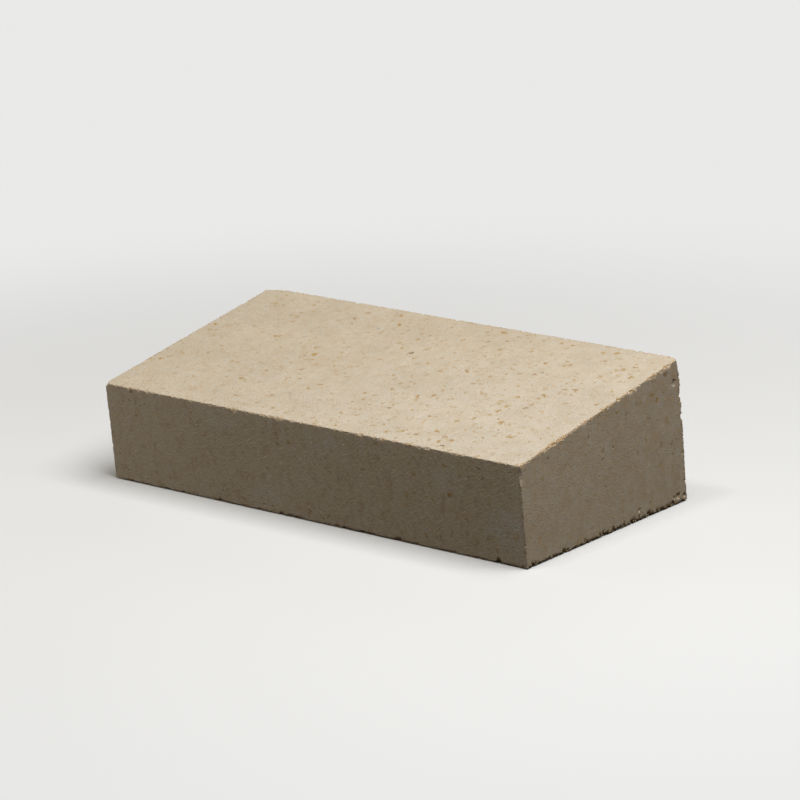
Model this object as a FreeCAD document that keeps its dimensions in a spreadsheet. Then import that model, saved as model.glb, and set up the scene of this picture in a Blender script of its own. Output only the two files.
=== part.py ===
import FreeCAD, Part
import math
import os
import Sketcher

# Side-arch firebrick of fireclay with chamotte, pressed in one piece and fired.
# Nominal size 230 x 114 x 65/45 mm: across its width the brick narrows from the thick side to the thin one.
# It lies on one of its two wide beds, so its upper bed falls towards the thin side.
# X runs along the length, -Y faces the thin side and +Z is up.
# The origin is at the bottom centre of the bounding box, on the lower bed.

# Lengths in millimetres and angles in degrees. Each worn corner is cut by one plane: its reach is how far the
# plane runs along the upper bed's long arris, its wear is the depth taken off at the end face, and its slope is
# the fall of the plane's line on that face.
SIZES = {
    "brick_length": 230,
    "brick_width": 114,     # square from the thin side to the thick side
    "thin_side": 45,        # between the beds, at the thin side
    "thick_side": 65,       # between the beds, at the thick side
    "arris_radius": 0.4,
    "thick_left_reach": 11,
    "thick_left_wear": 2.6,
    "thick_left_slope": 41,
    "thick_right_reach": 2.5,
    "thick_right_wear": 2.2,
    "thick_right_slope": 74,
    "thin_left_reach": 2.5,
    "thin_left_wear": 1.4,
    "thin_left_slope": 41,
}

# Each bed leans from the brick's middle plane by half of the taper.
LEAN = "atan((Sizes.thick_side - Sizes.thin_side) / (2 * Sizes.brick_width))"
# Width of a bed, measured on its slope.
BED = f"(Sizes.brick_width / cos({LEAN}))"
# The top of the thin side overhangs the lower bed. Overhang and bed are centred on the origin together.
FRONT = f"(({BED} - Sizes.thin_side * sin({LEAN})) / 2)"
# Long arrises of the upper bed, as Y and Z on the section.
THIN_TOP = (f"-{FRONT} - Sizes.thin_side * sin({LEAN})", f"Sizes.thin_side * cos({LEAN})")
THICK_TOP = (f"{BED} - {FRONT} - Sizes.thick_side * sin({LEAN})", f"Sizes.thick_side * cos({LEAN})")

LEFT, RIGHT = -1, 1
FALLS_TO_BACK, FALLS_TO_FRONT = -1, 1

doc = FreeCAD.newDocument("firebrick")

sheet = doc.addObject("Spreadsheet::Sheet", "Sizes")
for row, (alias, value) in enumerate(SIZES.items(), start=1):
    sheet.set(f"A{row}", alias)
    sheet.set(f"B{row}", str(value))
    sheet.setAlias(f"B{row}", alias)
doc.recompute()

body = doc.addObject("PartDesign::Body", "Firebrick")
body.Label = "firebrick"
body.Placement = FreeCAD.Placement()


def add_sketch(name, role):
    """A sketch on one of the body's own origin planes."""
    plane = next(feature for feature in body.Origin.OriginFeatures if feature.Role == role)
    sketch = body.newObject("Sketcher::SketchObject", name)
    sketch.AttachmentSupport = [(plane, "")]
    sketch.MapMode = "FlatFace"
    return sketch


def add_polygon(sketch, points):
    """A closed run of lines through the points, joined corner to corner."""
    corners = [FreeCAD.Vector(x, y, 0) for x, y in points]
    count = len(corners)
    for index, corner in enumerate(corners):
        sketch.addGeometry(Part.LineSegment(corner, corners[(index + 1) % count]), False)
    for index in range(count):
        sketch.addConstraint(Sketcher.Constraint("Coincident", index, 2, (index + 1) % count, 1))


def add_size(sketch, name, expression, kind, *where):
    """A named dimension that follows the sheet."""
    value = sketch.evalExpression(expression)
    if kind == "Angle":
        value = math.radians(value.Value)
    index = sketch.addConstraint(Sketcher.Constraint(kind, *where, value))
    sketch.renameConstraint(index, name)
    sketch.setExpression(f"Constraints.{name}", expression)


# Section on the YZ plane, drawn upright first and leaned over by its dimensions.
section = add_sketch("Section", "YZ_Plane")
half_width = sheet.brick_width / 2
add_polygon(section, [(-half_width, 0), (half_width, 0), (half_width, sheet.thick_side),
                      (-half_width, sheet.thin_side)])
lower_bed, thick_side, upper_bed, thin_side = range(4)
section.addConstraint(Sketcher.Constraint("Horizontal", lower_bed))
section.addConstraint(Sketcher.Constraint("Parallel", thick_side, thin_side))
section.addConstraint(Sketcher.Constraint("PointOnObject", lower_bed, 1, -1))
add_size(section, "front", FRONT, "DistanceX", lower_bed, 1, -1, 1)
add_size(section, "bed", BED, "DistanceX", lower_bed, 1, lower_bed, 2)
add_size(section, "thick", "Sizes.thick_side", "Distance", thick_side)
add_size(section, "thin", "Sizes.thin_side", "Distance", thin_side)
add_size(section, "lean", f"90 deg + {LEAN}", "Angle", thick_side)

block = body.newObject("PartDesign::Pad", "Block")
block.Profile = section
block.SideType = "Symmetric"
block.setExpression("Length", "Sizes.brick_length")
doc.recompute()


def add_worn_corner(name, corner, arris, end, fall):
    """One plane cut across a corner of the upper bed.

    The sketch plane stands on the corner, square to the cut's line on the end face. The cut's profile there
    is a right triangle, twice the size of what it takes off, so that it runs on past the bed and the end.
    """
    sketch = add_sketch(f"{name}Profile", "XZ_Plane")
    sketch.AttachmentOffset = FreeCAD.Placement(FreeCAD.Vector(), FreeCAD.Rotation(FreeCAD.Vector(1, 0, 0), 1))
    sketch.setExpression("AttachmentOffset.Base.y", arris[1])
    sketch.setExpression("AttachmentOffset.Base.z", f"-({arris[0]})")
    sketch.setExpression("AttachmentOffset.Rotation.Angle", f"{fall} * Sizes.{corner}_slope")

    reach = getattr(sheet, f"{corner}_reach")
    wear = getattr(sheet, f"{corner}_wear")
    past_end = end * (sheet.brick_length + reach) / 2
    add_polygon(sketch, [(past_end, wear / 2), (past_end - 2 * end * reach, wear / 2), (past_end, -1.5 * wear)])
    level, _, upright = range(3)
    origin, outer, inner = (-1, 1), (level, 1), (level, 2)
    from_origin = origin + outer if end == RIGHT else outer + origin
    along_level = inner + outer if end == RIGHT else outer + inner
    sketch.addConstraint(Sketcher.Constraint("Horizontal", level))
    sketch.addConstraint(Sketcher.Constraint("Vertical", upright))
    add_size(sketch, "past_end", f"(Sizes.brick_length + Sizes.{corner}_reach) / 2", "DistanceX", *from_origin)
    add_size(sketch, "reach", f"2 * Sizes.{corner}_reach", "DistanceX", *along_level)
    add_size(sketch, "above", f"Sizes.{corner}_wear / 2", "DistanceY", *origin, *outer)
    add_size(sketch, "wear", f"2 * Sizes.{corner}_wear", "DistanceY", upright, 1, upright, 2)

    before = body.Tip.Shape.Volume
    cut = body.newObject("PartDesign::Pocket", name)
    cut.Profile = sketch
    cut.SideType = "Symmetric"
    cut.setExpression("Length", "Sizes.thick_side")
    doc.recompute()
    if cut.Shape.Volume >= before:
        raise RuntimeError(f"{name} takes nothing off the brick")
    return cut


add_worn_corner("WornThickLeft", "thick_left", THICK_TOP, LEFT, FALLS_TO_BACK)
add_worn_corner("WornThickRight", "thick_right", THICK_TOP, RIGHT, FALLS_TO_BACK)
worn = add_worn_corner("WornThinLeft", "thin_left", THIN_TOP, LEFT, FALLS_TO_FRONT)

# Slightly rounded arrises, as a pressed brick leaves its mould.
arrises = body.newObject("PartDesign::Fillet", "Arrises")
arrises.Base = (worn, [])
arrises.UseAllEdges = True
arrises.setExpression("Radius", "Sizes.arris_radius")
doc.recompute()

for item in doc.Objects:
    if {"Invalid", "Error"} & set(item.State):
        raise RuntimeError(f"{item.Name} is {item.State}")
shape = body.Shape
if shape.isNull() or not shape.isValid() or len(shape.Solids) != 1:
    raise RuntimeError("the firebrick is not one valid solid")

os.makedirs("parts", exist_ok=True)
shape.exportStep("parts/firebrick.step")
box = shape.BoundBox
print(f"firebrick: {shape.Volume / 1000:.1f} cm3, X {box.XMin:.2f} to {box.XMax:.2f}, "
      f"Y {box.YMin:.2f} to {box.YMax:.2f}, Z {box.ZMin:.2f} to {box.ZMax:.2f} mm")
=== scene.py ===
import math

import bmesh
import bpy
import numpy as np
from mathutils import Matrix, Vector, noise


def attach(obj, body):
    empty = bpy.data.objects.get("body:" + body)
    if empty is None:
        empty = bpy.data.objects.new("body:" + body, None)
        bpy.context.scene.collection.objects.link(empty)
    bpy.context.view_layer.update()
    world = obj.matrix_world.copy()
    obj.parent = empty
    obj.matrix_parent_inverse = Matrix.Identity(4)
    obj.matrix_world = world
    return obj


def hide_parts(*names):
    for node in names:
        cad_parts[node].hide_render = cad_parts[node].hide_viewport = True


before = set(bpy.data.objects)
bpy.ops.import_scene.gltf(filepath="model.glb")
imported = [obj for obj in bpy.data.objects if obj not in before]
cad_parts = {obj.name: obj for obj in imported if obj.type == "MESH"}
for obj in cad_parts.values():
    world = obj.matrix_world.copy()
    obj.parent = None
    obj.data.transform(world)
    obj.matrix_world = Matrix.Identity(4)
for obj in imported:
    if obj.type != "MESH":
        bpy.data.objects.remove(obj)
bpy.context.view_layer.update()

# Sizes in millimetres. The mesh is scaled to metres at the end.
MM = 0.001

# The brick: nominal sizes of the format, and the section that follows from them, as Y and Z.
LENGTH = 230.0
WIDTH = 114.0
THIN_SIDE = 45.0
THICK_SIDE = 65.0
LEAN = math.atan((THICK_SIDE - THIN_SIDE) / 2 / WIDTH)
BED = WIDTH / math.cos(LEAN)
FRONT = (BED - THIN_SIDE * math.sin(LEAN)) / 2
RISE = np.array([-math.sin(LEAN), math.cos(LEAN)])
THIN_BOTTOM = np.array([-FRONT, 0.0])
THICK_BOTTOM = np.array([BED - FRONT, 0.0])
THIN_TOP = THIN_BOTTOM + THIN_SIDE * RISE
THICK_TOP = THICK_BOTTOM + THICK_SIDE * RISE

# The six faces: outward normal and a point on each.
FACES = {
    "lower": ((0, 0, -1), (0, *THIN_BOTTOM)),
    "upper": ((0, -math.sin(2 * LEAN), math.cos(2 * LEAN)), (0, *THIN_TOP)),
    "thin": ((0, -math.cos(LEAN), -math.sin(LEAN)), (0, *THIN_TOP)),
    "thick": ((0, math.cos(LEAN), math.sin(LEAN)), (0, *THICK_TOP)),
    "left": ((-1, 0, 0), (-LENGTH / 2, 0, 0)),
    "right": ((1, 0, 0), (LENGTH / 2, 0, 0)),
}
FACE_NAMES = list(FACES)
NORMALS = np.array([normal for normal, _ in FACES.values()])
OFFSETS = np.array([np.dot(normal, point) for normal, point in FACES.values()])


def depths(points):
    """How far each point lies under each of the six faces."""
    return OFFSETS - points @ NORMALS.T


def spot(face, along, across):
    """A place on a face. Along the bed and the thin side it counts from the left end, and across them down from
    their upper arris. On the right end it counts from the front and up from the floor."""
    if face == "right":
        return np.array([LENGTH / 2, THIN_TOP[0] + along, across])
    start, end = (THICK_TOP, THIN_TOP) if face == "upper" else (THIN_TOP, THIN_BOTTOM)
    y, z = start + (end - start) * across / np.linalg.norm(end - start)
    return np.array([along - LENGTH / 2, y, z])


# How each arris has worn: rounding, its slow wander, grainy raggedness, and depth and share of lost grains.
# Then how strongly iron stains its crumbs.
ARRISES = {
    ("upper", "thin"): (0.14, 0.12, 0.40, 0.60, 0.42, 0.55),
    ("upper", "thick"): (0.20, 0.30, 0.25, 0.80, 0.40, 1.0),
    ("upper", "left"): (0.18, 0.18, 0.22, 0.55, 0.30, 1.0),
    ("upper", "right"): (0.16, 0.22, 0.33, 0.85, 0.44, 1.0),
    ("lower", "thin"): (0.22, 0.35, 0.25, 0.80, 0.35, 1.0),
    ("lower", "thick"): (0.30, 0.40, 0.28, 1.00, 0.45, 1.0),
    ("lower", "left"): (0.30, 0.40, 0.28, 1.00, 0.45, 1.0),
    ("lower", "right"): (0.26, 0.20, 0.50, 1.60, 0.60, 1.0),
    ("thin", "left"): (0.22, 0.20, 0.15, 0.40, 0.15, 1.0),
    ("thin", "right"): (0.22, 0.25, 0.10, 0.35, 0.20, 1.0),
    ("thick", "left"): (0.30, 0.35, 0.25, 0.90, 0.40, 1.0),
    ("thick", "right"): (0.30, 0.35, 0.30, 1.10, 0.50, 1.0),
}

# Grains lost from the arrises: depth as a multiple of the arris's own, size, and part of its share.
LOST_GRAINS = [(1.0, 0.8, 1.0), (1.1, 1.5, 0.8), (1.5, 2.6, 0.2)]

# Nicks knocked out of the arrises: place along the arris from its left, front or lower end, half length, depth.
NICKS = {
    ("upper", "thin"): [(57.5, 1.0, 0.4), (75.5, 1.8, 0.6), (95.7, 1.0, 0.7), (101.0, 2.0, 0.4), (146.5, 1.6, 0.7),
                        (158.5, 1.7, 0.6), (179.0, 4.0, 0.4), (201.0, 1.2, 0.3)],
    ("upper", "right"): [(19.5, 3.0, 0.9), (24.0, 2.0, 1.0), (30.0, 2.5, 0.9), (45.5, 1.8, 0.6), (80.0, 3.0, 0.8),
                         (97.0, 2.0, 0.7), (106.0, 3.0, 0.9)],
    ("lower", "thin"): [(30.5, 1.0, 0.5), (142.0, 0.7, 0.7), (144.0, 0.6, 0.7), (215.3, 1.1, 1.9)],
    ("thick", "right"): [(48.0, 3.5, 1.2), (41.5, 1.0, 0.9)],
    ("upper", "thick"): [(226.5, 1.4, 1.0)],
}

# Stretches of an arris rubbed smooth: place, half length, and how far across its second and its first face.
RUBS = {
    ("thin", "right"): [(39.8, 4.6, 1.9, 0.95), (27.5, 3.5, 0.8, 0.4), (11.0, 4.5, 0.8, 0.4)],
}

# Corners rubbed down: end, arris of the upper bed, reach along it, depth off the end, slope and fall of the cut.
WORN_CORNERS = [
    (-1, THICK_TOP, 11.0, 2.6, 41.0, 1),
    (1, THICK_TOP, 3.5, 2.4, 72.0, 1),
    (-1, THIN_TOP, 2.5, 1.5, 41.0, -1),
]

# Open pits: face, place on it, half width and depth.
PITS = [
    ("right", 111.3, 3.6, 1.4, 1.1),
    ("right", 115.9, 3.0, 1.1, 0.9),
    ("right", 108.4, 3.4, 0.9, 0.4),
    ("right", 108.6, 54.5, 1.6, 0.5),
    ("right", 82.6, 4.6, 0.8, 0.6),
    ("right", 64.3, 36.9, 0.5, 0.4),
    ("thin", 88.2, 42.1, 0.6, 0.3),
]

# Mesh step on the flats, and the distances from an arris within which it is halved, once for each.
FLAT_STEP = 2.1
BANDS = (5.0, 2.2, 0.85)


def sample(points, size, seed):
    """Smooth noise from -1 to 1, with features of about the given size."""
    shift = Vector((seed * 17.3, seed * 9.1, seed * 5.7))
    return np.array([noise.noise(Vector(point) / size + shift) for point in points])


def lost_grains(points, size, share):
    """How far each point is inside a grain that has fallen out, from 0 to 1. Some grains leave deeper holes."""
    lost = np.zeros(len(points))
    for index, point in enumerate(points):
        distance, centres = noise.voronoi(Vector(point) / size)
        chance = 0.5 + 0.5 * noise.cell(centres[0] * 31.7)
        if chance < share:
            lost[index] = math.sqrt(max(0.0, 1 - (distance[0] / 0.65) ** 2)) * (1 - 0.7 * chance / share)
    return lost


def build_shell():
    """The brick's flat faces as one stitched grid, finer towards the arrises and round the pits."""
    counts = [round(LENGTH / FLAT_STEP), round(BED / FLAT_STEP), round((THIN_SIDE + THICK_SIDE) / 2 / FLAT_STEP)]
    bm = bmesh.new()
    made = {}

    def vertex(key):
        if key not in made:
            along, across, up = (value / count for value, count in zip(key, counts))
            bottom = THIN_BOTTOM + (THICK_BOTTOM - THIN_BOTTOM) * across
            top = THIN_TOP + (THICK_TOP - THIN_TOP) * across
            made[key] = bm.verts.new(((along - 0.5) * LENGTH, *(bottom + (top - bottom) * up)))
        return made[key]

    for axis in range(3):
        first, second = [other for other in range(3) if other != axis]
        for side in (0, counts[axis]):
            for i in range(counts[first]):
                for j in range(counts[second]):
                    corners = []
                    for di, dj in ((0, 0), (1, 0), (1, 1), (0, 1)):
                        key = [side] * 3
                        key[first] = i + di
                        key[second] = j + dj
                        corners.append(vertex(tuple(key)))
                    bm.faces.new(corners)
    bmesh.ops.recalc_face_normals(bm, faces=bm.faces)

    pits = [(spot(face, along, across), width) for face, along, across, width, _ in PITS]
    for band in BANDS:
        points = np.array([vert.co for vert in bm.verts])
        near = np.sort(depths(points), axis=1)[:, 1] < band
        for centre, width in pits:
            near |= np.linalg.norm(points - centre, axis=1) < width + band
        bm.verts.index_update()
        edges = [edge for edge in bm.edges if all(near[vert.index] for vert in edge.verts)]
        bmesh.ops.subdivide_edges(bm, edges=edges, cuts=1, use_grid_fill=True)
    bmesh.ops.triangulate(bm, faces=bm.faces)
    mesh = bpy.data.meshes.new("fired_brick")
    bm.to_mesh(mesh)
    bm.free()
    return mesh


def wear(flat):
    """Where the flat shell's points go on the fired and handled brick, and how freshly broken each one is."""
    points = flat.copy()
    under = depths(flat)
    outward = (under < 1e-4) @ NORMALS
    outward /= np.linalg.norm(outward, axis=1)[:, None]

    # The pressed faces are very slightly uneven, always inward of the mould's face.
    uneven = 0.06 * (1 + sample(flat, 38, 1)) + 0.025 * (1 + sample(flat, 5, 2))
    points -= outward * uneven[:, None]

    broken = np.zeros(len(flat))
    for number, ((first, second), worn) in enumerate(ARRISES.items()):
        rounding, wander, ragged, depth, share, stain = worn
        i, j = FACE_NAMES.index(first), FACE_NAMES.index(second)
        near = np.flatnonzero(under[:, i] + under[:, j] < 6)
        local = flat[near]
        slow = np.clip(sample(local, 11, 3 + number) + 0.3, 0, 1)
        grain = np.abs(sample(local, 1.3, 40 + number)) + 0.6 * np.abs(sample(local, 0.6, 60 + number))
        lost = sum(times * lost_grains(local, size, share * part) for times, size, part in LOST_GRAINS)
        leg = rounding + wander * slow + ragged * grain + depth * lost
        direction = np.abs(np.cross(NORMALS[i], NORMALS[j]))
        along = local @ (direction / np.linalg.norm(direction))
        along -= along.min()
        for place, half, deep in NICKS.get((first, second), ()):
            inside = np.clip(1 - ((along - place) / half) ** 2, 0, 1)
            leg += deep * np.sqrt(inside) * (0.55 + 2.5 * ragged * grain)
        torn = 0.55 + (leg - rounding - 0.35) * 2
        for place, half, across_second, across_first in RUBS.get((first, second), ()):
            lean = NORMALS[i] / across_second + NORMALS[j] / across_first
            now = depths(points[near])
            over = 1 - ((along - place) / half) ** 2 - now[:, i] / across_second - now[:, j] / across_first
            points[near] -= np.clip(over, 0, None)[:, None] * lean / (lean @ lean)
            torn = np.where(over > -0.1, 0.0, torn)
        now = depths(points[near])
        push = (leg - now[:, i] - now[:, j]) / (2 * (1 + NORMALS[i] @ NORMALS[j]))
        points[near] -= np.clip(push, 0, None)[:, None] * (NORMALS[i] + NORMALS[j])
        broken[near] = np.maximum(broken[near], stain * np.clip(torn, 0, 1) * (push > -0.05))

    for end, arris, reach, depth, slope, fall in WORN_CORNERS:
        tilt = math.radians(slope)
        across = np.array([0.0, fall * math.sin(tilt), math.cos(tilt)])
        normal = np.array([end / reach, 0, 0]) + across / depth
        normal /= np.linalg.norm(normal)
        plane = np.array([end * LENGTH / 2, *arris]) - across * depth
        height = (points - plane) @ normal
        close = np.flatnonzero(height > -1.5)
        rough = 0.2 * sample(flat[close], 1.3, 31) + 0.35 * sample(flat[close], 5, 32)
        over = height[close] - rough
        points[close] -= np.clip(over, 0, None)[:, None] * normal
        broken[close] = np.maximum(broken[close], 0.4 * (over > 0))

    for face, along, across, width, depth in PITS:
        distance = np.linalg.norm(flat - spot(face, along, across), axis=1)
        close = np.flatnonzero(distance < 1.6 * width)
        ragged = distance[close] / width + 0.35 * sample(flat[close], 0.9, 71)
        hole = np.clip(1 - ragged ** 2, 0, 1) ** 0.6
        points[close] -= (depth * hole)[:, None] * outward[close]
    return points, broken


# Bake map: the six faces laid out in one square at one scale. The beds and the thick side stand over each other in
# the first column, the ends in the second, and the thin side fills the third, turned upright.
GAP = 3.0
END_DEPTH = THICK_BOTTOM[0] - THIN_TOP[0]
SQUARE = 4 * GAP + LENGTH + THICK_TOP[1] + THIN_SIDE
ALONG, UP = np.array([1.0, 0, 0]), np.array([0, 0, 1.0])
LAYOUT = {
    "lower": (GAP, GAP, ALONG),
    "upper": (GAP, 2 * GAP + BED, ALONG),
    "thick": (GAP, 3 * GAP + 2 * BED, ALONG),
    "left": (2 * GAP + LENGTH, GAP, UP),
    "right": (2 * GAP + LENGTH, 2 * GAP + END_DEPTH, UP),
    "thin": (3 * GAP + LENGTH + THICK_TOP[1], GAP, UP),
}


def add_bake_map(mesh, flat):
    """A bake map named OFBake, worked out from the points of the flat shell."""
    loops = np.empty(len(mesh.loops), np.int32)
    mesh.loops.foreach_get("vertex_index", loops)
    centres = flat[loops].reshape(-1, 3, 3).mean(axis=1)
    home = np.repeat(np.argmin(depths(centres), axis=1), 3)
    places = np.zeros((len(loops), 2))
    for name, (right, up, axis) in LAYOUT.items():
        index = FACE_NAMES.index(name)
        mine = home == index
        first = np.cross(NORMALS[index], np.cross(axis, NORMALS[index]))
        first /= np.linalg.norm(first)
        second = np.cross(NORMALS[index], first)
        corners = flat[loops[mine]]
        places[mine, 0] = right + corners @ first - (corners @ first).min()
        places[mine, 1] = up + corners @ second - (corners @ second).min()
    mesh.uv_layers.new(name="OFBake").data.foreach_set("uv", (places / SQUARE).ravel())


class Tree:
    """Short calls for one material's nodes. A value may be a number, a colour or another node's socket."""

    def __init__(self, name):
        self.material = bpy.data.materials.new(name)
        self.material.use_nodes = True
        self.nodes = self.material.node_tree.nodes
        self.links = self.material.node_tree.links
        self.nodes.clear()

    def fill(self, socket, value):
        if isinstance(value, bpy.types.NodeSocket):
            self.links.new(value, socket)
        else:
            socket.default_value = value

    def add(self, kind, inputs, **settings):
        node = self.nodes.new(kind)
        for name, value in settings.items():
            setattr(node, name, value)
        for name, value in inputs.items():
            self.fill(node.inputs[name], value)
        return node

    def math(self, operation, *values):
        return self.add("ShaderNodeMath", dict(enumerate(values)), operation=operation).outputs[0]

    def times(self, *values):
        total = values[0]
        for value in values[1:]:
            total = self.math("MULTIPLY", total, value)
        return total

    def plus(self, *values):
        total = values[0]
        for value in values[1:]:
            total = self.math("ADD", total, value)
        return total

    def vector(self, operation, *values):
        return self.add("ShaderNodeVectorMath", dict(enumerate(values)), operation=operation).outputs["Vector"]

    def ramp(self, value, low, high, start=0.0, end=1.0):
        inputs = {"Value": value, "From Min": low, "From Max": high, "To Min": start, "To Max": end}
        return self.add("ShaderNodeMapRange", inputs, interpolation_type="SMOOTHSTEP").outputs["Result"]

    def mix(self, factor, first, second):
        node = self.add("ShaderNodeMix", {"Factor": factor}, data_type="RGBA")
        for socket, value in ((node.inputs[6], first), (node.inputs[7], second)):
            self.fill(socket, value if isinstance(value, bpy.types.NodeSocket) else (*value, 1.0))
        return node.outputs[2]

    def noise(self, vector, size, detail=2.0, rough=0.5):
        inputs = {"Vector": vector, "Scale": 1 / size, "Detail": detail, "Roughness": rough}
        return self.add("ShaderNodeTexNoise", inputs).outputs["Fac"]

    def centred(self, vector, size, detail=2.0, rough=0.5):
        """Noise about zero, so that its strength may change from place to place without a step in height."""
        return self.math("SUBTRACT", self.noise(vector, size, detail, rough), 0.5)

    def grains(self, vector, size, shift, reach, share):
        """Scattered grains: how strong each is at this place, and a random number for each."""
        moved = self.vector("ADD", vector, shift)
        node = self.add("ShaderNodeTexVoronoi", {"Vector": moved, "Scale": 1 / size})
        red, green, blue = self.add("ShaderNodeSeparateColor", {"Color": node.outputs["Color"]}).outputs
        radius = self.ramp(green, 0.0, 1.0, 0.4 * reach / size, 1.3 * reach / size)
        inside = self.ramp(self.math("DIVIDE", node.outputs["Distance"], radius), 1.0, 0.4)
        return self.times(inside, self.ramp(red, 1 - share, 1.0)), blue

    def away(self, vector, face, along, across, half_along, half_across):
        """Distance from a place on a face, as a multiple of the half widths there."""
        reach = {"right": (1.5, half_along, half_across), "thin": (half_along, 1.5, half_across),
                 "upper": (half_along, half_across, 1.5)}[face]
        offset = self.vector("SUBTRACT", vector, tuple(spot(face, along, across)))
        offset = self.vector("DIVIDE", offset, reach)
        return self.add("ShaderNodeVectorMath", {0: offset}, operation="LENGTH").outputs["Value"]

    def rims(self, vector, size, shift, reach, share):
        """Thin rings round scattered grains."""
        outer, _ = self.grains(vector, size, shift, reach, share)
        return self.times(self.ramp(outer, 0.0, 0.4), self.ramp(outer, 0.8, 0.4))


# Colours of the fired clay and of what is in it.
CREAM = (0.640, 0.548, 0.420)
DUSKY = (0.545, 0.440, 0.290)
SHADE = (0.520, 0.446, 0.344)
PALE = (0.720, 0.640, 0.520)
BLUISH = (0.600, 0.560, 0.500)
PALE_GREY = (0.660, 0.610, 0.540)
GREY = (0.360, 0.320, 0.250)
RUSTY = (0.620, 0.400, 0.180)
OCHRE = (0.440, 0.240, 0.036)
STRAW = (0.600, 0.445, 0.240)
TAN = (0.515, 0.365, 0.200)
UMBER = (0.440, 0.285, 0.190)
BROWN = (0.300, 0.150, 0.040)
DARK = (0.170, 0.080, 0.020)

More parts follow.
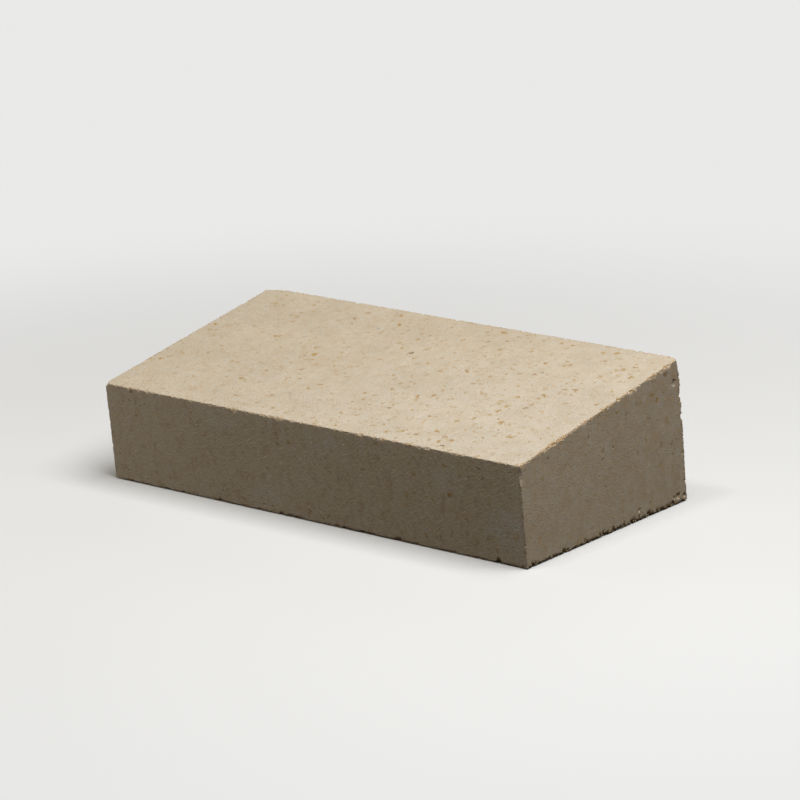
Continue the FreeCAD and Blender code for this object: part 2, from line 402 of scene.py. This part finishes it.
# Marks large or dark enough to be known by: colour, face, place on it, and half widths along and across.
MARKS = [
    (OCHRE, "upper", 3.8, 44.0, 1.5, 1.3),
    (OCHRE, "upper", 5.7, 83.6, 1.3, 1.0),
    (OCHRE, "upper", 41.2, 44.7, 2.0, 1.1),
    (OCHRE, "upper", 71.8, 55.0, 1.1, 1.5),
    (OCHRE, "upper", 56.9, 87.4, 2.2, 0.9),
    (OCHRE, "upper", 88.3, 14.5, 1.2, 1.3),
    (OCHRE, "upper", 117.2, 32.8, 0.9, 1.4),
    (OCHRE, "upper", 96.3, 80.0, 1.1, 1.0),
    (BROWN, "upper", 109.7, 19.6, 1.0, 1.2),
    (DARK, "upper", 113.2, 38.0, 1.0, 1.0),
    (GREY, "upper", 81.5, 21.2, 0.8, 0.9),
    (GREY, "upper", 89.2, 91.5, 0.9, 0.9),
    (BROWN, "upper", 66.6, 103.2, 0.9, 0.9),
    (OCHRE, "upper", 145.5, 74.0, 1.2, 1.8),
    (OCHRE, "upper", 152.0, 71.0, 1.5, 0.9),
    (OCHRE, "upper", 150.4, 61.6, 0.9, 1.1),
    (OCHRE, "upper", 128.2, 44.2, 0.9, 0.8),
    (OCHRE, "upper", 155.3, 72.8, 0.9, 0.7),
    (OCHRE, "upper", 163.5, 88.5, 1.1, 1.0),
    (OCHRE, "upper", 176.5, 99.5, 1.6, 0.8),
    (OCHRE, "upper", 188.5, 73.0, 0.7, 0.9),
    (OCHRE, "upper", 193.5, 79.8, 0.8, 1.1),
    (OCHRE, "upper", 195.3, 7.5, 1.1, 0.9),
    (OCHRE, "upper", 189.5, 23.0, 1.1, 0.9),
    (OCHRE, "upper", 214.5, 19.0, 1.2, 0.8),
    (OCHRE, "upper", 224.7, 53.0, 0.9, 0.8),
    (BROWN, "upper", 197.5, 66.7, 0.7, 0.8),
    (OCHRE, "upper", 171.5, 61.5, 1.6, 0.7),
    (OCHRE, "upper", 196.6, 82.6, 1.5, 1.4),
    (OCHRE, "upper", 187.3, 104.7, 1.2, 1.4),
    (DARK, "upper", 186.6, 110.4, 0.9, 0.8),
    (DARK, "upper", 182.5, 34.3, 0.8, 1.0),
    (OCHRE, "upper", 184.2, 67.3, 0.7, 1.2),
    (OCHRE, "upper", 161.4, 105.0, 1.1, 0.9),
    (OCHRE, "upper", 209.0, 92.4, 2.8, 0.9),
    (OCHRE, "upper", 217.7, 15.3, 1.4, 0.9),
    (PALE, "upper", 159.2, 91.2, 1.1, 1.1),
    (BROWN, "thin", 15.3, 1.3, 1.1, 0.9),
    (OCHRE, "thin", 17.0, 12.7, 1.1, 0.7),
    (GREY, "thin", 3.2, 7.8, 0.7, 0.7),
    (BROWN, "thin", 76.7, 41.6, 0.8, 0.6),
    (GREY, "thin", 87.4, 39.1, 0.7, 0.6),
    (GREY, "thin", 99.6, 11.8, 1.1, 0.6),
    (BROWN, "thin", 114.3, 40.3, 0.9, 0.8),
    (BROWN, "thin", 124.2, 40.8, 0.8, 0.7),
    (OCHRE, "thin", 192.2, 19.0, 1.4, 1.3),
    (BROWN, "thin", 208.5, 4.2, 0.9, 0.8),
    (OCHRE, "thin", 190.7, 6.4, 1.5, 0.6),
    (GREY, "thin", 185.5, 39.3, 0.9, 0.7),
    (BROWN, "thin", 12.5, 32.5, 0.6, 0.5),
    (BROWN, "thin", 34.0, 39.5, 0.7, 0.5),
    (BROWN, "thin", 70.5, 13.0, 0.6, 0.5),
    (GREY, "thin", 95.3, 31.5, 0.6, 0.5),
    (OCHRE, "thin", 106.0, 10.5, 1.2, 0.8),
    (BROWN, "thin", 161.6, 5.0, 0.8, 0.6),
    (BROWN, "thin", 202.5, 9.2, 0.7, 0.6),
    (BROWN, "thin", 210.0, 8.7, 1.6, 0.6),
    (BROWN, "thin", 213.7, 20.9, 0.6, 0.6),
    (BROWN, "thin", 199.4, 28.5, 0.7, 0.6),
    (BROWN, "thin", 210.5, 35.4, 0.9, 0.6),
    (OCHRE, "thin", 164.3, 40.8, 0.8, 0.7),
    (BROWN, "thin", 229.0, 37.8, 0.6, 1.0),
    (OCHRE, "right", 3.5, 42.2, 0.9, 0.6),
    (BROWN, "right", 15.8, 34.3, 0.5, 0.6),
    (BROWN, "right", 31.0, 37.5, 0.6, 0.6),
    (BROWN, "right", 34.5, 36.3, 0.5, 0.6),
    (BROWN, "right", 47.0, 45.5, 0.6, 0.7),
    (OCHRE, "right", 54.0, 49.5, 1.6, 0.7),
    (BROWN, "right", 57.1, 37.1, 0.6, 0.6),
    (OCHRE, "right", 57.5, 54.3, 1.0, 0.6),
    (OCHRE, "right", 67.0, 51.5, 1.0, 0.9),
    (BROWN, "right", 73.8, 49.4, 0.7, 0.7),
    (OCHRE, "right", 76.4, 48.6, 0.9, 0.7),
    (DARK, "right", 81.5, 51.3, 0.7, 0.7),
    (BROWN, "right", 95.8, 41.7, 0.6, 0.7),
    (OCHRE, "right", 96.0, 50.2, 1.2, 0.8),
    (BROWN, "right", 101.5, 51.8, 0.8, 0.8),
    (DARK, "right", 108.7, 25.6, 0.6, 0.7),
    (BROWN, "right", 106.5, 27.8, 0.8, 0.9),
    (BROWN, "right", 90.8, 6.2, 0.9, 0.6),
    (BROWN, "right", 7.5, 3.0, 0.6, 0.6),
    (BROWN, "right", 57.0, 34.0, 0.9, 1.0),
    (BROWN, "right", 48.3, 6.1, 1.0, 0.8),
    (BROWN, "right", 19.0, 43.8, 0.7, 0.8),
    (BROWN, "right", 99.2, 30.0, 0.8, 1.0),
    (BROWN, "right", 90.0, 43.5, 1.1, 0.7),
    (OCHRE, "right", 93.0, 52.9, 2.8, 0.6),
    (BROWN, "right", 94.0, 59.0, 2.2, 0.8),
    (BROWN, "right", 102.5, 60.0, 2.2, 0.9),
    (OCHRE, "right", 103.0, 39.0, 1.1, 1.8),
    (OCHRE, "right", 88.0, 34.6, 0.9, 0.9),
]

# Soft patches, paler and greyer than the clay round them: face, place on it, half widths, strength.
PATCHES = [
    ("thin", 66.0, 6.0, 13.0, 7.0, 0.6),
    ("thin", 125.0, 7.0, 12.0, 6.0, 0.6),
    ("thin", 190.0, 13.0, 9.0, 8.0, 0.5),
    ("thin", 90.0, 36.0, 12.0, 6.0, 0.5),
    ("thin", 222.0, 30.0, 15.0, 20.0, 0.6),
    ("right", 108.2, 55.5, 4.0, 5.0, 0.60),
    ("right", 99.0, 47.0, 6.0, 4.0, 0.40),
]


def fireclay():
    """Cream fired clay with paler chamotte grains, many small ochre iron specks and a few dark ones."""
    tree = Tree("fireclay_fired")
    coordinates = tree.add("ShaderNodeTexCoord", {}).outputs
    place = tree.vector("MULTIPLY", coordinates["Object"], (1 / MM, 1 / MM, 1 / MM))
    across = tree.add("ShaderNodeSeparateXYZ", {0: place}).outputs[0]
    facing = tree.add("ShaderNodeSeparateXYZ", {0: coordinates["Normal"]}).outputs
    bed = tree.ramp(tree.math("ABSOLUTE", facing[2]), 0.4, 0.8)
    end = tree.ramp(tree.math("ABSOLUTE", facing[0]), 0.6, 0.9)
    side = tree.math("SUBTRACT", 1.0, tree.math("MAXIMUM", bed, end))

    # Every outline is bent at the size of the grains, so that none is a clean circle.
    bent = place
    for size, amount in ((2.0, 3.6), (0.8, 1.8)):
        wobble = tree.add("ShaderNodeTexNoise", {"Vector": place, "Scale": 1 / size, "Detail": 1.0}).outputs["Color"]
        wobble = tree.vector("MULTIPLY_ADD", wobble, (amount,) * 3, (-amount / 2,) * 3)
        bent = tree.vector("ADD", bent, wobble)

    # Broad clouds and mottling of the clay itself.
    cloud = tree.ramp(tree.noise(place, 34, 3), 0.35, 0.68)
    colour = tree.mix(tree.times(cloud, 0.25), CREAM, DUSKY)
    patch = tree.ramp(tree.noise(tree.vector("ADD", place, (40, 7, 3)), 6, 3, 0.6), 0.5, 0.78)
    colour = tree.mix(tree.times(patch, 0.3), colour, BLUISH)
    patch = tree.ramp(tree.noise(tree.vector("ADD", bent, (14, 37, 90)), 5, 3, 0.6), 0.42, 0.66)
    colour = tree.mix(tree.times(patch, tree.plus(tree.times(bed, 0.08), 0.38)), colour, DUSKY)
    mottle = tree.ramp(tree.noise(bent, 2.4, 3, 0.65), 0.50, 0.70)
    colour = tree.mix(tree.times(mottle, 0.55), colour, STRAW)
    mottle = tree.ramp(tree.noise(tree.vector("ADD", bent, (5, 60, 11)), 1.1, 2, 0.6), 0.45, 0.75)
    colour = tree.mix(tree.times(mottle, 0.35), colour, PALE)

    # Painted light: the beds are painted paler towards the right end of the thin side, where light falls brighter on
    # them. They are also softly clouded.
    painted_light_direction = tree.add("ShaderNodeVectorMath", {0: place, 1: (0.8, -1.0, 0.0)}, operation="DOT_PRODUCT")
    painted_light = tree.ramp(painted_light_direction.outputs["Value"], -60.0, 130.0, 0.0, 0.68)
    colour = tree.mix(tree.times(bed, painted_light), colour, PALE)
    cloud = tree.ramp(tree.noise(tree.vector("ADD", bent, (25, 65, 5)), 8, 4, 0.65), 0.42, 0.62)
    colour = tree.mix(tree.times(bed, cloud, 0.34), colour, DUSKY)

    # The ends are browner and blotchy. Reddish smudges run down the sides.
    blotch = tree.ramp(tree.noise(tree.vector("ADD", place, (70, 20, 50)), 5.5, 3, 0.6), 0.40, 0.60, 0.14, 0.64)
    colour = tree.mix(tree.times(blotch, end), colour, TAN)
    smudged = tree.vector("MULTIPLY", tree.vector("ADD", bent, (12, 77, 30)), (1.0, 1.0, 0.45))
    smudge = tree.ramp(tree.noise(smudged, 3.0, 3, 0.6), 0.5, 0.72)
    amount = tree.plus(tree.times(side, 0.50), tree.times(end, 0.18), 0.05)
    colour = tree.mix(tree.times(smudge, amount), colour, UMBER)
    bloom = tree.ramp(tree.noise(tree.vector("ADD", bent, (33, 3, 93)), 7.0, 4, 0.6), 0.50, 0.66)
    colour = tree.mix(tree.times(bloom, end, 0.32), colour, PALE_GREY)

    # Chamotte grains, paler or greyer than the clay.
    grain, chance = tree.grains(bent, 3.6, (3, 1, 9), 1.5, 0.4)
    colour = tree.mix(tree.times(grain, 0.35), colour, tree.mix(tree.ramp(chance, 0.5, 0.9), PALE, BLUISH))
    grey, chance = tree.grains(bent, 4.6, (31, 8, 2), 1.0, 0.3)
    colour = tree.mix(tree.times(grey, 0.20), colour, GREY)

    # Rusty rims, broken into short arcs, round some of the larger grains.
    arcs = tree.ramp(tree.noise(place, 1.8, 2), 0.48, 0.58)
    rim = tree.rims(bent, 3.4, (17, 5, 77), 1.3, 0.7)
    colour = tree.mix(tree.times(rim, arcs, 0.8), colour, RUSTY)

    # Iron specks, from many faint small ones to a few strong ones. The sides have fewer than the beds and ends.
    crowd = tree.math("MAXIMUM", tree.ramp(across, -90.0, 40.0, 0.68, 1.0), end)
    crowd = tree.math("SUBTRACT", crowd, tree.times(side, 0.40))
    crowd = tree.math("SUBTRACT", crowd, tree.times(end, 0.28))
    for size, shift, reach, share, strength in (
            (1.7, (7, 50, 3), 0.75, 0.8, 0.28), (2.8, (91, 33, 57), 1.05, 0.8, 0.90),
            (4.8, (13, 71, 29), 1.25, 0.7, 0.95), (10.0, (2, 19, 83), 1.3, 0.5, 0.9)):
        speck, chance = tree.grains(bent, size, shift, reach, share)
        tint = tree.mix(tree.ramp(chance, 0.8, 1.0), OCHRE, BROWN)
        colour = tree.mix(tree.times(speck, strength, crowd), colour, tint)
    pore, chance = tree.grains(place, 2.0, (8, 80, 5), 0.5, 0.6)
    colour = tree.mix(tree.times(pore, tree.plus(tree.times(end, 0.6), 0.1)), colour, BROWN)
    glint, chance = tree.grains(place, 3.2, (28, 6, 52), 0.5, 0.5)
    colour = tree.mix(tree.times(glint, tree.plus(tree.times(end, 0.5), tree.times(side, 0.3))), colour, PALE)
    speck, chance = tree.grains(bent, 13.0, (50, 4, 61), 0.6, 0.5)
    colour = tree.mix(tree.times(speck, 0.7), colour, DARK)

    # The patches and marks that the brick is known by.
    cloudy = tree.ramp(tree.noise(bent, 4.0, 3, 0.6), 0.3, 0.6)
    for face, along, across, half_along, half_across, strength in PATCHES:
        away = tree.away(place, face, along, across, half_along, half_across)
        colour = tree.mix(tree.times(tree.ramp(away, 1.2, 0.2), cloudy, strength), colour, PALE_GREY)
    for tint in (OCHRE, PALE, GREY, BROWN, DARK):
        total = 0.0
        for _, face, along, across, half_along, half_across in [mark for mark in MARKS if mark[0] is tint]:
            away = tree.away(bent, face, along, across, half_along, half_across)
            total = tree.math("MAXIMUM", tree.ramp(away, 1.15, 0.65), total)
        colour = tree.mix(tree.times(total, 0.92), colour, tint)

    # Sandy grain, warmer on the sides and ends, and tints where an arris has crumbled, with painted shadow in its
    # notches.
    sand = tree.noise(place, 0.5, 2)
    colour = tree.mix(tree.ramp(sand, 0.40, 0.7, 0.0, 0.45), colour, SHADE)
    grit = tree.ramp(tree.noise(tree.vector("ADD", place, (90, 12, 45)), 0.9, 3, 0.7), 0.46, 0.66)
    colour = tree.mix(tree.times(grit, end, 0.34), colour, GREY)
    gritty = tree.ramp(tree.noise(tree.vector("ADD", place, (3, 33, 63)), 1.3, 2, 0.6), 0.45, 0.65)
    colour = tree.mix(tree.times(gritty, tree.plus(tree.times(end, 0.60), tree.times(bed, 0.15), 0.1)), colour, SHADE)
    warm = tree.ramp(tree.noise(tree.vector("ADD", place, (21, 2, 8)), 2.6, 3, 0.6), 0.45, 0.65)
    amount = tree.plus(tree.times(end, 0.06), tree.times(side, 0.08), 0.04)
    colour = tree.mix(tree.times(warm, amount), colour, RUSTY)
    broken = tree.add("ShaderNodeAttribute", {}, attribute_name="broken").outputs["Fac"]
    rusty = tree.ramp(tree.noise(place, 2.0, 3, 0.6), 0.37, 0.53)
    crumb = tree.mix(rusty, PALE, RUSTY)
    # Dark painted shadow in the notches of a crumbled arris, mixed into its pale and rusty crumbs.
    painted_notch_shadow = tree.ramp(tree.noise(tree.vector("ADD", place, (44, 4, 24)), 0.9, 1), 0.52, 0.62)
    crumb = tree.mix(tree.times(painted_notch_shadow, 0.7), crumb, BROWN)
    colour = tree.mix(tree.times(broken, 0.75), colour, crumb)

    # Relief: sandy and grainy everywhere, dragged upward on the sides that slid in the mould.
    dragged = tree.centred(tree.vector("MULTIPLY", place, (1.0, 1.0, 0.6)), 0.8, 3, 0.6)
    sandy = tree.centred(place, 0.8, 3, 0.6)
    fine = tree.plus(tree.times(dragged, side), tree.times(sandy, tree.math("SUBTRACT", 1.0, side)))
    coarse = tree.ramp(tree.noise(tree.vector("ADD", place, (9, 9, 9)), 26, 2), 0.42, 0.6, 0.7, 1.2)
    strength = tree.plus(0.20, tree.times(bed, 0.22), tree.times(end, -0.06))
    fine = tree.times(fine, strength)
    large = tree.times(tree.centred(place, 2.2, 2), 0.05)
    height = tree.times(tree.plus(fine, large), coarse)
    height = tree.plus(height, tree.times(grain, 0.04))
    height = tree.plus(height, tree.times(broken, tree.centred(place, 0.7, 1), 0.7))
    front = tree.ramp(facing[1], -0.4, -0.8)
    pimple, chance = tree.grains(place, 2.6, (61, 19, 2), 0.45, 0.5)
    pimply = tree.plus(tree.times(front, 0.45), tree.times(side, 0.12), tree.times(end, 0.15))
    height = tree.plus(height, tree.times(pimple, pimply))

    # Fine slanting ridges on the thin side, at one even strength over all of it.
    slanted = tree.add("ShaderNodeVectorRotate", {"Vector": place, "Angle": math.radians(35)},
                       rotation_type="Y_AXIS").outputs[0]
    slanted = tree.vector("MULTIPLY", slanted, (0.45, 1.0, 1.3))
    ridges = tree.times(tree.centred(slanted, 0.7, 1), tree.ramp(across, 20.0, 90.0, 0.05, 2.6), front)
    height = tree.plus(height, ridges)
    pit, chance = tree.grains(bent, 4.0, (7, 3, 41), 0.6, 0.3)
    height = tree.math("SUBTRACT", height, tree.times(pit, 0.25))
    bump = tree.add("ShaderNodeBump", {"Height": height, "Distance": MM, "Strength": 1.0})

    rough = tree.ramp(tree.noise(place, 2.5, 2), 0.3, 0.7, 0.82, 0.96)
    shader = tree.add("ShaderNodeBsdfPrincipled", {
        "Base Color": colour, "Roughness": rough, "Normal": bump.outputs["Normal"], "Specular IOR Level": 0.25})
    tree.add("ShaderNodeOutputMaterial", {"Surface": shader.outputs["BSDF"]})
    return tree.material


def make_brick():
    """The fired brick, which stands for the plain solid."""
    mesh = build_shell()
    flat = np.empty(len(mesh.vertices) * 3, np.float32)
    mesh.vertices.foreach_get("co", flat)
    flat = flat.reshape(-1, 3).astype(float)
    add_bake_map(mesh, flat)
    points, broken = wear(flat)
    mesh.vertices.foreach_set("co", (points * MM).ravel())
    mesh.attributes.new("broken", "FLOAT", "POINT").data.foreach_set("value", broken)
    mesh.shade_smooth()
    mesh.update()
    brick = bpy.data.objects.new("fired_brick", mesh)
    bpy.context.scene.collection.objects.link(brick)
    mesh.materials.append(fireclay())
    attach(brick, "root")
    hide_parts("firebrick")


# Stage: pale to the camera, and dimmer as a light on the brick. The floor fades into the sky far out.
SHOWN = (0.82, 0.82, 0.81)
FLOOR_BOUNCE = (0.066, 0.060, 0.050)
SKY_LIGHT = (0.056, 0.051, 0.043)
FLOOR_SIZE = 12.0
FADE_START, FADE_END = 0.16, 0.55


def make_floor():
    """A plain pale floor just under the brick."""
    half = FLOOR_SIZE / 2
    mesh = bpy.data.meshes.new("floor")
    mesh.from_pydata([(-half, -half, 0), (half, -half, 0), (half, half, 0), (-half, half, 0)], [], [(0, 1, 2, 3)])
    floor = bpy.data.objects.new("floor", mesh)
    floor.location.z = -0.0002
    bpy.context.scene.collection.objects.link(floor)
    tree = Tree("floor")
    camera = tree.add("ShaderNodeLightPath", {}).outputs["Is Camera Ray"]
    colour = tree.mix(camera, FLOOR_BOUNCE, SHOWN)
    diffuse = tree.add("ShaderNodeBsdfDiffuse", {"Color": colour}).outputs["BSDF"]
    glow = tree.add("ShaderNodeEmission", {"Color": (*SHOWN, 1.0)}).outputs["Emission"]
    place = tree.add("ShaderNodeTexCoord", {}).outputs["Object"]
    distance = tree.add("ShaderNodeVectorMath", {0: place}, operation="LENGTH").outputs["Value"]
    fade = tree.times(tree.ramp(distance, FADE_START, FADE_END), camera)
    surface = tree.add("ShaderNodeMixShader", {0: fade, 1: diffuse, 2: glow}).outputs["Shader"]
    tree.add("ShaderNodeOutputMaterial", {"Surface": surface})
    mesh.materials.append(tree.material)


def make_world():
    """A dim even sky that the camera sees pale."""
    world = bpy.data.worlds.new("studio")
    world.use_nodes = True
    nodes, links = world.node_tree.nodes, world.node_tree.links
    nodes.clear()
    path = nodes.new("ShaderNodeLightPath")
    mix = nodes.new("ShaderNodeMix")
    mix.data_type = "RGBA"
    mix.inputs[6].default_value = (*SKY_LIGHT, 1)
    mix.inputs[7].default_value = (*SHOWN, 1)
    background = nodes.new("ShaderNodeBackground")
    output = nodes.new("ShaderNodeOutputWorld")
    links.new(path.outputs["Is Camera Ray"], mix.inputs["Factor"])
    links.new(mix.outputs[2], background.inputs["Color"])
    links.new(background.outputs["Background"], output.inputs["Surface"])
    bpy.context.scene.world = world


def make_lamp(name, place, aim, size, power, colour):
    """A soft square lamp."""
    data = bpy.data.lights.new(name, "AREA")
    data.shape = "SQUARE"
    data.size = size
    data.energy = power
    data.color = colour
    lamp = bpy.data.objects.new(name, data)
    lamp.location = place
    lamp.rotation_euler = (Vector(aim) - Vector(place)).to_track_quat("-Z", "Y").to_euler()
    bpy.context.scene.collection.objects.link(lamp)


# Camera: found from the photo's straight edges and the brick's nominal sizes.
CAMERA_PLACE = Vector((0.95592, -1.15453, 0.46201))
AZIMUTH = math.radians(39.48)
ELEVATION = math.radians(15.70)
ROLL = math.radians(-1.69)
SENSOR = 36.0
FOCAL_PIXELS = 3580.0
IMAGE_PIXELS = 800.0


def make_camera():
    """The photo's view: azimuth round the brick, elevation above the floor and a slight roll."""
    level = math.cos(ELEVATION)
    back = Vector((math.sin(AZIMUTH) * level, -math.cos(AZIMUTH) * level, math.sin(ELEVATION)))
    right = Vector((0, 0, 1)).cross(back).normalized()
    up = back.cross(right)
    turned_right = right * math.cos(ROLL) + up * math.sin(ROLL)
    turned_up = up * math.cos(ROLL) - right * math.sin(ROLL)
    data = bpy.data.cameras.new("camera")
    data.sensor_width = SENSOR
    data.lens = FOCAL_PIXELS / IMAGE_PIXELS * SENSOR
    data.clip_start = 0.01
    data.clip_end = 100
    camera = bpy.data.objects.new("camera", data)
    turn = Matrix((turned_right, turned_up, back)).transposed()
    camera.matrix_world = Matrix.Translation(CAMERA_PLACE) @ turn.to_4x4()
    bpy.context.scene.collection.objects.link(camera)
    bpy.context.scene.camera = camera


make_brick()
make_floor()
make_world()
make_lamp("key", (0.40, -0.05, 1.05), (0.0, 0.0, 0.03), 0.8, 12.3, (1.0, 1.0, 1.0))
make_lamp("grazing", (-0.05, -0.42, 1.1), (0.0, -0.05, 0.02), 0.15, 1.42, (1.0, 1.0, 1.0))
make_lamp("fill", (-0.45, -0.32, 0.15), (-0.08, 0.0, 0.02), 0.3, 0.47, (1.0, 0.95, 0.86))
make_lamp("back", (-0.25, 0.70, 0.30), (0.0, 0.0, 0.03), 0.5, 0.55, (1.0, 0.97, 0.92))
make_camera()
bpy.context.scene.view_settings.view_transform = "Standard"
